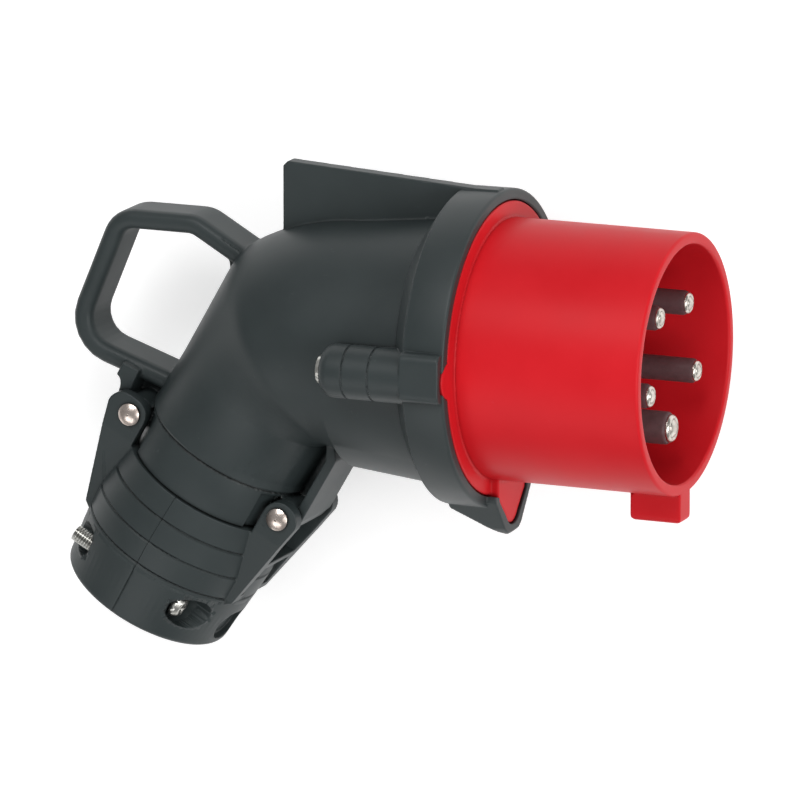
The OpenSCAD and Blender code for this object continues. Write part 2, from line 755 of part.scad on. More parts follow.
// Ears that reach up to the hinge pin and narrow down to the jaw, with a ribbed pocket between them
module jaw_ears(shift) {
    half = ears_w / 2;
    foot = jaw_start + 3 * groove_pitch;
    below = foot + 4;
    inner = hinge_e - ear_r;
    difference() {
        intersection() {
            across(-half, half)
                polygon(concat(arc([hinge_e, hinge_s], ear_r, 180, 270, 6),
                               arc([hinge_e + shift, hinge_s], ear_r, 270, 360, 6),
                               [[jaw_radius(foot) - 0.6, foot], [jaw_radius(below) - 4, below],
                                [saddle_r, below], [saddle_r, jaw_start], [inner, jaw_start]]));
            along_x(0, 2 * hinge_e)
                polygon([[-half, 0], [half, 0], [half, hinge_s + 6], [ear_foot_w / 2, foot],
                         [ear_foot_w / 2 - 2, below], [2 - ear_foot_w / 2, below],
                         [-ear_foot_w / 2, foot], [-half, hinge_s + 6]]);
        }
        along_x(0, 2 * hinge_e)
            polygon([[ear_t - half, 0], [half - ear_t, 0], [half - ear_t, hinge_s + 7],
                     [half - ear_t - 1.6, jaw_rib_s], [ear_t - half + 1.6, jaw_rib_s],
                     [ear_t - half, hinge_s + 7]]);
        along_x(0, 2 * hinge_e)
            polygon([[half - ear_t - 2.4, jaw_rib_s + 1.8], [ear_foot_w / 2 - 2.5, foot - 2],
                     [2.5 - ear_foot_w / 2, foot - 2], [ear_t - half + 2.4, jaw_rib_s + 1.8]]);
    }
}

// Outline of a slot with round ends
function stadium(w, h) = concat(arc([(w - h) / 2, 0], h / 2, -90, 90), arc([(h - w) / 2, 0], h / 2, 90, 270));

// A slot along x for a clamp screw that the jaws tilt against
module screw_slot(to) {
    r = screw_d / 2 + 0.3;
    both_sides() translate([0, screw_spacing / 2, screw_s]) {
        translate([-1, -r, -slot_play]) cube([to + 1, 2 * r, 2 * slot_play]);
        for (end = [-1, 1]) translate([0, 0, end * slot_play]) bar_x(-1, to, r);
    }
}

module jaw(shift) {
    difference() {
        union() {
            jaw_outside();
            jaw_ears(shift);
        }
        jaw_inside();
        translate([-2 * jaw_r, -jaw_r - 1, jaw_start - 1])
            cube([2 * jaw_r + jaw_gap / 2, 2 * jaw_r + 2, jaw_len + 2]);
        translate([hinge_e, 0, hinge_s]) rotate([90, 0, 0])
            cylinder(h = 2 * ears_w, r = hinge_d / 2 + fit, center = true);
        screw_slot(jaw_r);
        translate([0, 0, jaw_hollow_s]) along_x(jaw_radius(jaw_hollow_s) - hollow, jaw_r + 1)
            polygon(stadium(hollow_w, hollow_h));
        children();
    }
}

module back_jaw() {
    color(shell_colour) at_rest() on_cable() jaw(back_ear_shift) both_sides()
        translate([0, screw_spacing / 2, screw_s]) {
        bar_x(screw_seat + 3.5, jaw_r + 1, screw_head_d / 2 + 0.8);
        translate([-1, -nut_w / 2 - nut_play_y, -nut_w / 2 - nut_play_s])
            cube([1 + nut_front + nut_t + nut_play_x, nut_w + 2 * nut_play_y, nut_w + 2 * nut_play_s]);
    }
}

module front_jaw() {
    color(shell_colour) at_rest() on_cable() mirror([1, 0, 0]) jaw(front_ear_shift) both_sides()
        translate([0, screw_spacing / 2, screw_s]) bar_x(screw_seat, jaw_r + 1, screw_head_d / 2 + 1.1);
}

module clamp_screw(side) {
    under = screw_seat + apart;
    head_r = screw_head_d / 2;
    head_t = 2.4;
    color(steel_colour) at_rest() on_cable() translate([0, side * screw_spacing / 2, screw_s]) difference() {
        union() {
            bar_x(-under - eps, screw_len - under, screw_d / 2);
            about_x()
                polygon([[0, -under], [head_r, -under], [head_r, -under - head_t / 2],
                         [head_r - 0.9, -under - head_t], [0, -under - head_t]]);
        }
        for (turn = [0, 90]) rotate([turn, 0, 0])
            translate([-under - head_t - eps, -0.45, -1.8]) cube([1.3, 0.9, 3.6]);
    }
}

module clamp_nut(side) {
    color(steel_colour) at_rest() on_cable() translate([nut_front, side * screw_spacing / 2, screw_s])
        difference() {
            translate([0, -nut_w / 2, -nut_w / 2]) cube([nut_t, nut_w, nut_w]);
            bar_x(-1, nut_t + 1, screw_d / 2 + fit);
        }
}

housing();
collar();
fin();
handle();
contact_carrier();
contact_retainer();
retainer_screw();
flange_gasket();
side_screw(-1);  // side_screw_near
side_screw(1);  // side_screw_far
contact(0);  // earth_pin
contact(1);  // neutral_pin
contact(2);  // phase_pin_1
contact(3);  // phase_pin_2
contact(4);  // phase_pin_3
terminal_screws(0);  // earth_terminal_screws
terminal_screws(1);  // neutral_terminal_screws
terminal_screws(2);  // phase_1_terminal_screws
terminal_screws(3);  // phase_2_terminal_screws
terminal_screws(4);  // phase_3_terminal_screws
cable_seal();
slip_ring();
hinge_pin(1);  // back_hinge_pin
hinge_pin(-1);  // front_hinge_pin
back_jaw();
front_jaw();
clamp_screw(-1);  // clamp_screw_near
clamp_screw(1);  // clamp_screw_far
clamp_nut(-1);  // clamp_nut_near
clamp_nut(1);  // clamp_nut_far
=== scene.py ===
import math

import bpy
import numpy as np
from mathutils import Matrix, Vector


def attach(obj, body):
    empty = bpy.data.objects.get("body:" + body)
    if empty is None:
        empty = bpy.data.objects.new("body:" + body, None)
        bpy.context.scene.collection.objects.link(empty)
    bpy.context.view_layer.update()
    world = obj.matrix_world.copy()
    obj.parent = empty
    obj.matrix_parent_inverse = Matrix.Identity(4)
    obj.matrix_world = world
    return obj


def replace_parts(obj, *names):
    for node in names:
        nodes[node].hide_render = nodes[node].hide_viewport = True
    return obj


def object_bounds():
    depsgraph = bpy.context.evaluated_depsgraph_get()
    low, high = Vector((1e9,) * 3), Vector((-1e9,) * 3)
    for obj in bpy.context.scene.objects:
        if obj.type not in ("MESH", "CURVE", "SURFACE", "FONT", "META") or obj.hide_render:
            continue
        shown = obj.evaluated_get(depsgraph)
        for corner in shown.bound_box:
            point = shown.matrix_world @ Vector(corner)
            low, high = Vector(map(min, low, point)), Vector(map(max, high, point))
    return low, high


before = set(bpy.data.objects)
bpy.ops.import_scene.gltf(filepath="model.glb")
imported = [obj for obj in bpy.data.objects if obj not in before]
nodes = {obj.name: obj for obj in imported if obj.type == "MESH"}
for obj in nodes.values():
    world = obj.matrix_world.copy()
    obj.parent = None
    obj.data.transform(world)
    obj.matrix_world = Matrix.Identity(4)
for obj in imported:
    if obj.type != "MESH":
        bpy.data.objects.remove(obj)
cad_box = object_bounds()

# Sizes of the plug in millimetres, from the part's source or following from it
REST_ROLL = 8.66
REST_PITCH = -7.79
SHROUD_R = 31.75
SHROUD_WALL = 2.75
SHROUD_LEN = 47
FLOOR_DEPTH = 43.5
COLLAR_FRONT_R = 38.7
COLLAR_R = 38.6
COLLAR_BACK = 57.5
COLLAR_SLOPE = 4.8
PIN_CIRCLE = 32
PIN_ANGLES = {"earth_pin": -90, "neutral_pin": -18, "phase_pin_1": 54, "phase_pin_2": 126,
              "phase_pin_3": 198}
PIN_R = 3
EARTH_R = 4
TIP_DEPTH = 1.5
BEND = 60
ELBOW_DIST = 101.6
BEND_R = 33
BARREL_FRONT_TOP = 31.5
BARREL_FRONT_BOTTOM = 34.6
BARREL_REAR_TOP = 28.8
BARREL_REAR_BOTTOM = 32
NECK_R = 22.1
NECK_BACK_R = 21.2
CORNER_BLEND = 0.7
ELBOW_END = 35
ELBOW_END_R = 21.6
NECK_END = 45
BAND_R = 20.3
CHEEK_R = 21.2
SIDE_SCREW_Y = 34.5
SIDE_SCREW_Z = -1
BOSS_R = 6.5
BOSS_BACK = 79.3
BOSS_RING = 6.8
BOSS_GROOVE = 0.35
HINGE_S = 38.4
HINGE_E = 22.7
HINGE_R = 1.6
HINGE_HEAD_R = 2.75
HINGE_HEAD_H = 1.2
EARS_W = 26
APART = 0.35
JAW_START = 45.35
JAW_WIDEST = 58.55
JAW_END = 81.05
JAW_TOP_R = 22.2
JAW_R = 23.7
JAW_END_R = 21.8
JAW_PITCH = 6.6
JAW_GROOVE = 0.45
SCREW_S = 71.4
SCREW_SPACING = 31
SCREW_R = 2
SCREW_LEN = 30.5
SCREW_SEAT = 11

# Sizes in millimetres that follow the photograph, where the part's source has 35 and 3.1
LIP_END = 33.6
SIDE_HEAD_R = 3.5

# How the visible pieces lie over those sizes, in millimetres
SKIN_PROUD = 0.04
ROUND_REACH = 0.12
PARTING_GAP = 0.06
RIM_R = 0.7
SHELL_VOXEL = 0.4
JAW_VOXEL = 0.28
MOST_TRIANGLES = 190000

MM = 0.001


def turned_about(axis, degrees):
    return Matrix.Rotation(math.radians(degrees), 4, axis)


# The plug is drawn as it is held and then laid on its side
LAID = turned_about("Y", REST_PITCH) @ turned_about("X", REST_ROLL - 90)
ALONG_PLUG = LAID @ turned_about("Y", 90)
ALONG_CABLE = (LAID @ Matrix.Translation((-ELBOW_DIST * MM, 0, 0))
               @ turned_about("Y", 270 - BEND))


# Camera and studio

def look_through_camera():
    right = Vector((0.9205, 0.39, 0))
    up = Vector((-0.0859, 0.2024, 0.9755))
    back = right.cross(up).normalized()
    aim = (right * -68.5 + up * -8.5 + back * -30.8) * MM
    distance = 2.4
    view_width = 0.1939
    sensor = 36
    turned = Matrix((right, up, back)).transposed().to_4x4()
    data = bpy.data.cameras.new("camera")
    data.sensor_width = sensor
    data.lens = sensor * distance / view_width
    camera = bpy.data.objects.new("camera", data)
    bpy.context.scene.collection.objects.link(camera)
    camera.matrix_world = LAID @ Matrix.Translation(aim + back * distance) @ turned
    bpy.context.scene.camera = camera


def soft_lamp(name, place, size, watts, aim=(-0.07, -0.02, -0.01)):
    data = bpy.data.lights.new(name, "AREA")
    data.shape = "RECTANGLE"
    data.size, data.size_y = size
    data.energy = watts
    lamp = bpy.data.objects.new(name, data)
    bpy.context.scene.collection.objects.link(lamp)
    lamp.location = place
    lamp.rotation_euler = (Vector(place) - Vector(aim)).to_track_quat("Z", "Y").to_euler()


def light_studio():
    bpy.context.scene.view_settings.view_transform = "Standard"
    soft_lamp("overhead_softbox", (-0.15, 0.5, 0.75), (0.6, 0.4), 4.3)
    soft_lamp("front_softbox", (0.55, -0.2, 0.75), (0.5, 0.5), 3.2)
    soft_lamp("mouth_fill", (0.75, -0.02, 0.48), (0.35, 0.35), 2.3, aim=(0, 0, 0))
    soft_lamp("low_fill", (-0.4, -0.6, 0.5), (0.6, 0.4), 1.6)
    world = bpy.data.worlds.new("studio")
    world.use_nodes = True
    backdrop = world.node_tree.nodes["Background"]
    backdrop.inputs["Color"].default_value = (1, 1, 1, 1)
    backdrop.inputs["Strength"].default_value = 0.26
    bpy.context.scene.world = world


# Node helpers

def add_group(name, inputs, outputs):
    tree = bpy.data.node_groups.new(name, "ShaderNodeTree")
    for label, kind, value in inputs:
        socket = tree.interface.new_socket(label, in_out="INPUT", socket_type=kind)
        socket.default_value = value
    for label, kind in outputs:
        tree.interface.new_socket(label, in_out="OUTPUT", socket_type=kind)
    return tree, tree.nodes.new("NodeGroupInput"), tree.nodes.new("NodeGroupOutput")


def add_node(tree, kind, links=None, **settings):
    node = tree.nodes.new(kind)
    for key, value in settings.items():
        setattr(node, key, value)
    for key, value in (links or {}).items():
        if isinstance(value, bpy.types.NodeSocket):
            tree.links.new(value, node.inputs[key])
        else:
            node.inputs[key].default_value = value
    return node


def ramp(tree, value, low, high, start=0.0, end=1.0):
    node = add_node(tree, "ShaderNodeMapRange", {"Value": value, "From Min": low, "From Max": high,
                                                 "To Min": start, "To Max": end})
    return node.outputs["Result"]


def blend_colours(tree, factor, first, second):
    node = add_node(tree, "ShaderNodeMix", data_type="RGBA")
    for socket, value in ((node.inputs[0], factor), (node.inputs[6], first),
                          (node.inputs[7], second)):
        if isinstance(value, bpy.types.NodeSocket):
            tree.links.new(value, socket)
        else:
            socket.default_value = value
    return node.outputs[2]


def noise(tree, place, scale, detail, roughness):
    node = add_node(tree, "ShaderNodeTexNoise", {"Vector": place, "Scale": scale, "Detail": detail,
                                                 "Roughness": roughness})
    return node.outputs["Fac"]


# Effects that several finishes share

def mould_grain():
    """Fine grain of a mould, with broad cloudy differences in tone and a few handling marks."""
    tree, given, result = add_group("mould_grain",
                                    [("Fineness", "NodeSocketFloat", 3200),
                                     ("Cloud Size", "NodeSocketFloat", 60)],
                                    [("Height", "NodeSocketFloat"), ("Cloud", "NodeSocketFloat"),
                                     ("Mark", "NodeSocketFloat")])
    place = tree.nodes.new("ShaderNodeTexCoord").outputs["Object"]
    grain = noise(tree, place, given.outputs["Fineness"], 3, 0.6)
    cloud = noise(tree, place, given.outputs["Cloud Size"], 4, 0.55)
    mark = noise(tree, place, 340, 5, 0.7)
    tree.links.new(grain, result.inputs["Height"])
    tree.links.new(ramp(tree, cloud, 0.3, 0.7), result.inputs["Cloud"])
    tree.links.new(ramp(tree, mark, 0.66, 0.8), result.inputs["Mark"])
    return tree


def painted_crevice_shade():
    """Painted shade: a mask from ambient occlusion where a surface is closed in, in grooves and
    gaps.
    """
    tree, given, result = add_group("painted_crevice_shade", [("Reach", "NodeSocketFloat", 0.0012)],
                                    [("Shade", "NodeSocketFloat")])
    shade = add_node(tree, "ShaderNodeAmbientOcclusion", {"Distance": given.outputs["Reach"]},
                     samples=6)
    tree.links.new(ramp(tree, shade.outputs["AO"], 0.86, 0.45), result.inputs["Shade"])
    return tree


def turning_marks():
    """Fine scratches and stains left on turned and plated metal."""
    tree, given, result = add_group("turning_marks",
                                    [("Fineness", "NodeSocketFloat", 900),
                                     ("Stretch", "NodeSocketVector", (1, 1, 1))],
                                    [("Height", "NodeSocketFloat"), ("Stain", "NodeSocketFloat")])
    place = tree.nodes.new("ShaderNodeTexCoord").outputs["Object"]
    drawn = add_node(tree, "ShaderNodeVectorMath", {0: place, 1: given.outputs["Stretch"]},
                     operation="MULTIPLY")
    marks = noise(tree, drawn.outputs["Vector"], given.outputs["Fineness"], 4, 0.7)
    stain = noise(tree, place, 420, 5, 0.65)
    tree.links.new(marks, result.inputs["Height"])
    tree.links.new(ramp(tree, stain, 0.42, 0.68), result.inputs["Stain"])
    return tree


GRAIN = mould_grain()
# Painted shade for grooves and gaps, from ambient occlusion
CREVICE_SHADE = painted_crevice_shade()
MARKS = turning_marks()


def add_effect(tree, effect, **values):
    node = tree.nodes.new("ShaderNodeGroup")
    node.node_tree = effect
    for label, value in values.items():
        node.inputs[label.replace("_", " ")].default_value = value
    return node


def new_material(name):
    material = bpy.data.materials.new(name)
    material.use_nodes = True
    return material, material.node_tree, material.node_tree.nodes["Principled BSDF"]


def moulding(name, dark, light, painted_shade, mark, rough, specular, fineness=3200, grain=0.010,
             cloud=60):
    """Moulded plastic or rubber: two tones in clouds, painted shade in crevices, faint marks, fine
    grain.
    """
    material, tree, shader = new_material(name)
    shader.inputs["Specular IOR Level"].default_value = specular
    texture = add_effect(tree, GRAIN, Fineness=fineness, Cloud_Size=cloud)
    shaded_gaps = add_effect(tree, CREVICE_SHADE, Reach=0.0014)
    tone = blend_colours(tree, texture.outputs["Cloud"], dark, light)
    tone = blend_colours(tree, texture.outputs["Mark"], tone, mark)
    # Painted shade: the darkest colour goes where ambient occlusion finds grooves and gaps
    tone = blend_colours(tree, shaded_gaps.outputs["Shade"], tone, painted_shade)
    sheen = ramp(tree, texture.outputs["Cloud"], 0, 1, rough - 0.04, rough + 0.04)
    bump = add_node(tree, "ShaderNodeBump", {"Height": texture.outputs["Height"],
                                             "Strength": 0.35, "Distance": grain * MM})
    tree.links.new(tone, shader.inputs["Base Color"])
    tree.links.new(sheen, shader.inputs["Roughness"])
    tree.links.new(bump.outputs["Normal"], shader.inputs["Normal"])
    return material


def plated_metal(name, bright, stained, rough, depth, stretch=(1, 1, 1), metallic=1.0,
                 specular=0.5):
    """Plated or polished metal with fine marks, faint stains and painted shade in its crevices."""
    material, tree, shader = new_material(name)
    shader.inputs["Metallic"].default_value = metallic
    shader.inputs["Specular IOR Level"].default_value = specular
    marks = add_effect(tree, MARKS, Fineness=900, Stretch=stretch)
    shaded_gaps = add_effect(tree, CREVICE_SHADE, Reach=0.0006)
    bump = add_node(tree, "ShaderNodeBump", {"Height": marks.outputs["Height"],
                                             "Strength": 0.5, "Distance": depth * MM})
    # Painted shade: crevices are darkened to a quarter of the stained colour
    painted_shade = tuple(0.25 * c for c in stained[:3]) + (1,)
    tone = blend_colours(tree, marks.outputs["Stain"], bright, stained)
    tone = blend_colours(tree, shaded_gaps.outputs["Shade"], tone, painted_shade)
    sheen = ramp(tree, marks.outputs["Stain"], 0, 1, rough, rough + 0.14)
    tree.links.new(tone, shader.inputs["Base Color"])
    tree.links.new(sheen, shader.inputs["Roughness"])
    tree.links.new(bump.outputs["Normal"], shader.inputs["Normal"])
    return material


# The darkest colour of each moulding is painted shade for its crevices and gaps
shell = moulding("shell_moulding", dark=(0.025, 0.033, 0.034, 1), light=(0.031, 0.040, 0.041, 1),
                 painted_shade=(0.006, 0.008, 0.008, 1), mark=(0.050, 0.060, 0.060, 1),
                 rough=0.47, specular=0.33)
red = moulding("red_moulding", dark=(0.58, 0.010, 0.016, 1), light=(0.64, 0.014, 0.021, 1),
               painted_shade=(0.22, 0.004, 0.006, 1), mark=(0.62, 0.03, 0.045, 1),
               rough=0.42, specular=0.13, fineness=2600, grain=0.005, cloud=35)
rubber = moulding("soft_rubber", dark=(0.010, 0.010, 0.010, 1), light=(0.016, 0.016, 0.016, 1),
                  painted_shade=(0.004, 0.004, 0.004, 1), mark=(0.02, 0.02, 0.02, 1),
                  rough=0.62, specular=0.4, grain=0.02)
nickel = plated_metal("nickel_plate", bright=(0.60, 0.57, 0.52, 1), stained=(0.42, 0.38, 0.34, 1),
                      rough=0.27, depth=0.002)
# Painted reflection and shade: the pins' shafts are a dark maroon, as the shroud's red inside and
# its shade look on bright metal
shaft_painted_reflection = plated_metal("pin_shaft_painted_reflection", bright=(0.105, 0.050, 0.054, 1),
                          stained=(0.080, 0.037, 0.040, 1), rough=0.45, depth=0.002,
                          stretch=(0.15, 1, 1), metallic=0.0, specular=0.4)
rivet_steel = plated_metal("rivet_steel", bright=(0.78, 0.68, 0.62, 1),
                           stained=(0.42, 0.34, 0.30, 1), rough=0.27, depth=0.012)
screw_steel = plated_metal("screw_steel", bright=(0.60, 0.60, 0.57, 1),
                           stained=(0.34, 0.33, 0.30, 1), rough=0.28, depth=0.014)


def paper_floor():
    """White paper under the plug, white to the camera and in reflections, that keeps a shadow."""
    material, tree, shader = new_material("white_paper")
    shader.inputs["Base Color"].default_value = (0.8, 0.8, 0.8, 1)
    shader.inputs["Roughness"].default_value = 0.9
    shader.inputs["Specular IOR Level"].default_value = 0.1
    shader.inputs["Emission Color"].default_value = (1, 1, 1, 1)
    seen = tree.nodes.new("ShaderNodeLightPath")
    straight = add_node(tree, "ShaderNodeMath", {0: seen.outputs["Is Camera Ray"],
                                                 1: seen.outputs["Is Transmission Ray"]},
                        operation="MAXIMUM")
    direct = add_node(tree, "ShaderNodeMath", {0: straight.outputs["Value"],
                                               1: seen.outputs["Is Glossy Ray"]},
                      operation="MAXIMUM")
    glow = ramp(tree, direct.outputs["Value"], 0, 1, start=0, end=0.5)
    tree.links.new(glow, shader.inputs["Emission Strength"])
    return material


# Working on pieces as by hand

def pick(*pieces):
    bpy.ops.object.select_all(action="DESELECT")
    for piece in pieces:
        piece.select_set(True)
    bpy.context.view_layer.objects.active = pieces[0]


def give_finish(obj, material, body, angle=30):
    """Gives a piece its finish and its body, once its place is in its mesh."""
    pick(obj)
    bpy.ops.object.transform_apply(location=True, rotation=True, scale=True)
    if angle:
        bpy.ops.object.shade_smooth_by_angle(angle=math.radians(angle))
    obj.data.materials.clear()
    obj.data.materials.append(material)
    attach(obj, body)
    return obj


def merged_copy(name, *sources):
    """Merged copies of CAD nodes, joined to one mesh."""
    copies = []
    for source in sources:
        copy = bpy.data.objects.new(name, nodes[source].data.copy())
        bpy.context.scene.collection.objects.link(copy)
        copies.append(copy)
    pick(*copies)
    if len(copies) > 1:
        bpy.ops.object.join()
    bpy.ops.object.mode_set(mode="EDIT")
    bpy.ops.mesh.select_all(action="SELECT")
    bpy.ops.mesh.remove_doubles(threshold=0.002 * MM)
    bpy.ops.object.mode_set(mode="OBJECT")
    copies[0].name = name
    return copies[0]


def smoothed_copy(node, name, material, body):
    """A merged copy of a CAD node, with its curved faces shaded smooth, stands for the node."""
    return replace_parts(give_finish(merged_copy(name, node), material, body, 32), node)


def apply_modifier(obj, kind, **settings):
    modifier = obj.modifiers.new(kind.lower(), kind)
    for key, value in settings.items():
        setattr(modifier, key, value)
    pick(obj)
    bpy.ops.object.modifier_apply(modifier=modifier.name)


def cut_away(obj, cutter, solver="EXACT"):
    """Cuts a scratch piece out of a piece."""
    apply_modifier(obj, "BOOLEAN", object=cutter, operation="DIFFERENCE", solver=solver)
    bpy.data.objects.remove(cutter)


def cutting_box(along, centre, sizes):
    """A scratch box, with centre and sizes in millimetres as seen from an axis."""
    bpy.ops.mesh.primitive_cube_add(size=MM)
    box = bpy.context.active_object
    place = Matrix.Translation([c * MM for c in centre])
    box.data.transform(along @ place @ Matrix.Diagonal((*sizes, 1)))
    return box


def points_from(obj, axis):
    """The points of a piece as seen from an axis: two across it and one along it."""
    flat = np.empty(3 * len(obj.data.vertices))
    obj.data.vertices.foreach_get("co", flat)
    return (flat.reshape(-1, 3) - np.array(axis.translation)) @ np.array(axis.to_3x3())


def put_points(obj, axis, points):
    """Puts the points of a piece in their new places, given as seen from an axis."""
    placed = points @ np.array(axis.to_3x3()).T + np.array(axis.translation)
    obj.data.vertices.foreach_set("co", placed.ravel())
    obj.data.update()


def true_round(obj, axis, bands, near):
    """Brings points near a turned surface to its exact radius.

    A band runs from (height, radius) to (height, radius) along the axis.
    """
    fade = 0.05
    points = points_from(obj, axis)
    radius = np.hypot(points[:, 0], points[:, 1])
    for (low, low_r), (high, high_r) in bands:
        share = (points[:, 2] / MM - low) / (high - low)
        wanted = (low_r + (high_r - low_r) * share) * MM
        off = np.abs(radius - wanted) / MM
        within = (share >= 0) & (share <= 1)
        pull = np.where(within, np.clip((near - off) / fade, 0, 1), 0)
        points[:, :2] *= (1 + pull * (wanted / np.maximum(radius, MM) - 1))[:, None]
    put_points(obj, axis, points)


def moulded_copy(sources, name, material, body, along, voxel, turned, rounds=5, flats=True):
    """Copies of CAD nodes fused to one moulding with soft edges.

    Small even faces are laid out along it, smoothed and thinned. With flats its large faces are
    shaded flat, and without them as the even faces were.
    """
    piece = merged_copy(name, *sources)
    piece.data.transform(along.inverted())
    piece.data.remesh_voxel_size = voxel * MM
    piece.data.remesh_voxel_adaptivity = 0
    bpy.ops.object.voxel_remesh()
    apply_modifier(piece, "SMOOTH", factor=0.5, iterations=rounds)
    piece.data.transform(along)
    for axis, bands, near in turned:
        true_round(piece, axis, bands, near)
    bpy.ops.object.shade_smooth()
    triangles = 2 * len(piece.data.polygons)
    if triangles > MOST_TRIANGLES:
        even = None if flats else piece.data.copy()
        apply_modifier(piece, "DECIMATE", ratio=MOST_TRIANGLES / triangles)
        if flats:
            apply_modifier(piece, "WEIGHTED_NORMAL", mode="FACE_AREA_WITH_ANGLE",
                           keep_sharp=False)
        else:
            shaded_as(piece, even)
    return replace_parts(give_finish(piece, material, body, angle=0), *sources)


def shaded_as(piece, mesh):
    """Takes over the shading of a mesh with more faces."""
    even = bpy.data.objects.new("even_faces", mesh)
    bpy.context.scene.collection.objects.link(even)
    apply_modifier(piece, "DATA_TRANSFER", object=even, use_loop_data=True,
                   data_types_loops={"CUSTOM_NORMAL"}, loop_mapping="POLYINTERP_NEAREST")
    bpy.data.objects.remove(even)


def press_parting(obj, along):
    """Brings a jaw's parting face close to the middle plane, as if pressed to the other jaw's."""
    points = points_from(obj, along)
    close = np.abs(points[:, 0]) < 0.3 * MM
    points[close, 0] = np.sign(points[close, 0]) * PARTING_GAP / 2 * MM
    put_points(obj, along, points)


def jaw_radius(s):
    """Radius of the jaws' outside at a place along the cable."""
    if s < JAW_WIDEST:
        share = (s - JAW_START) / (JAW_WIDEST - JAW_START)
        return JAW_TOP_R + (JAW_R - JAW_TOP_R) * share
    return JAW_R + (JAW_END_R - JAW_R) * (s - JAW_WIDEST) / (JAW_END - JAW_WIDEST)


def start_ring(name, radius, centre, sides, **settings):
    """Starts a piece as a circle and stays in edit mode, with its sizes in millimetres."""
    bpy.ops.mesh.primitive_circle_add(vertices=sides, radius=radius * MM,
                                      location=[c * MM for c in centre], **settings)
    obj = bpy.context.active_object
    obj.name = name
    bpy.ops.object.transform_apply(location=True, rotation=True)
    bpy.ops.object.mode_set(mode="EDIT")
    bpy.ops.mesh.select_all(action="SELECT")
    return obj


def next_ring(shift, turn, centre, grow):
    """Extrudes the open edge loop, moves it, turns it about the y axis and resizes it."""
    bpy.ops.mesh.extrude_edges_move()
    bpy.ops.transform.translate(value=shift)
    if turn:
        bpy.ops.transform.rotate(value=turn, orient_axis="Y", center_override=centre)
    bpy.ops.transform.resize(value=(grow, grow, grow), center_override=centre)


def face_outwards():
    """Turns all faces outwards and leaves edit mode."""
    bpy.ops.mesh.select_all(action="SELECT")
    bpy.ops.mesh.normals_make_consistent(inside=False)
    bpy.ops.object.mode_set(mode="OBJECT")


def turned_piece(name, profile, place, sides=64):
    """A turned piece: a disc that is extruded and resized through (radius, height) steps."""
    r, h = profile[0]
    obj = start_ring(name, r, (0, 0, h), sides, fill_type="NGON")
    for radius, height in profile[1:]:
        bpy.ops.mesh.extrude_region_move(
            TRANSFORM_OT_translate={"value": (0, 0, (height - h) * MM)})
        grow = radius / r
        bpy.ops.transform.resize(value=(grow, grow, 1), center_override=(0, 0, height * MM))
        r, h = radius, height
    face_outwards()
    obj.data.transform(place)
    return obj


def turned_skin(name, profile, place, sides=144):
    """A thin skin, closed at its edges, drawn out ring by ring through (radius, height) steps."""
    r, h = profile[0]
    obj = start_ring(name, r, (0, 0, h), sides)
    for radius, height in profile[1:]:
        next_ring((0, 0, (height - h) * MM), 0, (0, 0, height * MM), radius / r)
        r, h = radius, height
    face_outwards()
    apply_modifier(obj, "SOLIDIFY", thickness=0.3 * MM, offset=-1)
    obj.data.transform(place)
    return obj


def arc_steps(centre_r, centre_h, radius, start, end, steps):
    """Points (radius, height) on an arc of a profile."""
    turns = [math.radians(start + (end - start) * k / steps) for k in range(steps + 1)]
    return [(centre_r + radius * math.cos(a), centre_h + radius * math.sin(a)) for a in turns]


# Round skins over the mouldings

def side_screw_place(hand):
    middle = Matrix.Translation((0, hand * SIDE_SCREW_Y * MM, SIDE_SCREW_Z * MM))
    return LAID @ middle @ turned_about("Y", 90)


def make_collar_skin():
    """The collar with its slope to the barrel, left open round the carrier's side ears."""
    front_r = COLLAR_FRONT_R + SKIN_PROUD
    back_r = COLLAR_R + SKIN_PROUD
    edge = 0.7
    profile = [(BARREL_FRONT_TOP + 0.35, -COLLAR_BACK - COLLAR_SLOPE - 0.1),
               (back_r - 0.7, -COLLAR_BACK - 0.58), (back_r - 0.2, -COLLAR_BACK - 0.15),
               (back_r, -COLLAR_BACK + 0.4), (front_r, -SHROUD_LEN - 0.9)]
    profile += arc_steps(front_r - edge, -SHROUD_LEN - 0.66, edge, 15, 90, 5)
    profile += [(front_r - 2.3, -SHROUD_LEN + SKIN_PROUD)]
    skin = turned_skin("collar_skin", profile, ALONG_PLUG)
    ear_r = 4.85
    ear = [(ear_r, -SHROUD_LEN - 4.7), (ear_r, -SHROUD_LEN + 1)]
    for hand in (-1, 1):
        cut_away(skin, turned_piece("ear_notch", ear, side_screw_place(hand)))
    give_finish(skin, shell, "plug")


def make_neck_skin():
    """The neck's two bare sides between the jaws' ears, with a softly rounded lower edge."""
    r = CHEEK_R + SKIN_PROUD
    profile = [(r - 0.5, LIP_END + 0.75), (r - 0.1, LIP_END + 0.85), (r, LIP_END + 1.1),
               (r, NECK_END), (r - 0.08, NECK_END + 0.12), (r - 0.3, NECK_END + 0.2)]
    skin = turned_skin("neck_sides", profile, ALONG_CABLE)
    side = EARS_W / 2 + 2 * APART + 0.1
    cut_away(skin, cutting_box(ALONG_CABLE, (0, 0, 40), (60, 2 * side, 40)), "FAST")
    give_finish(skin, shell, "plug")


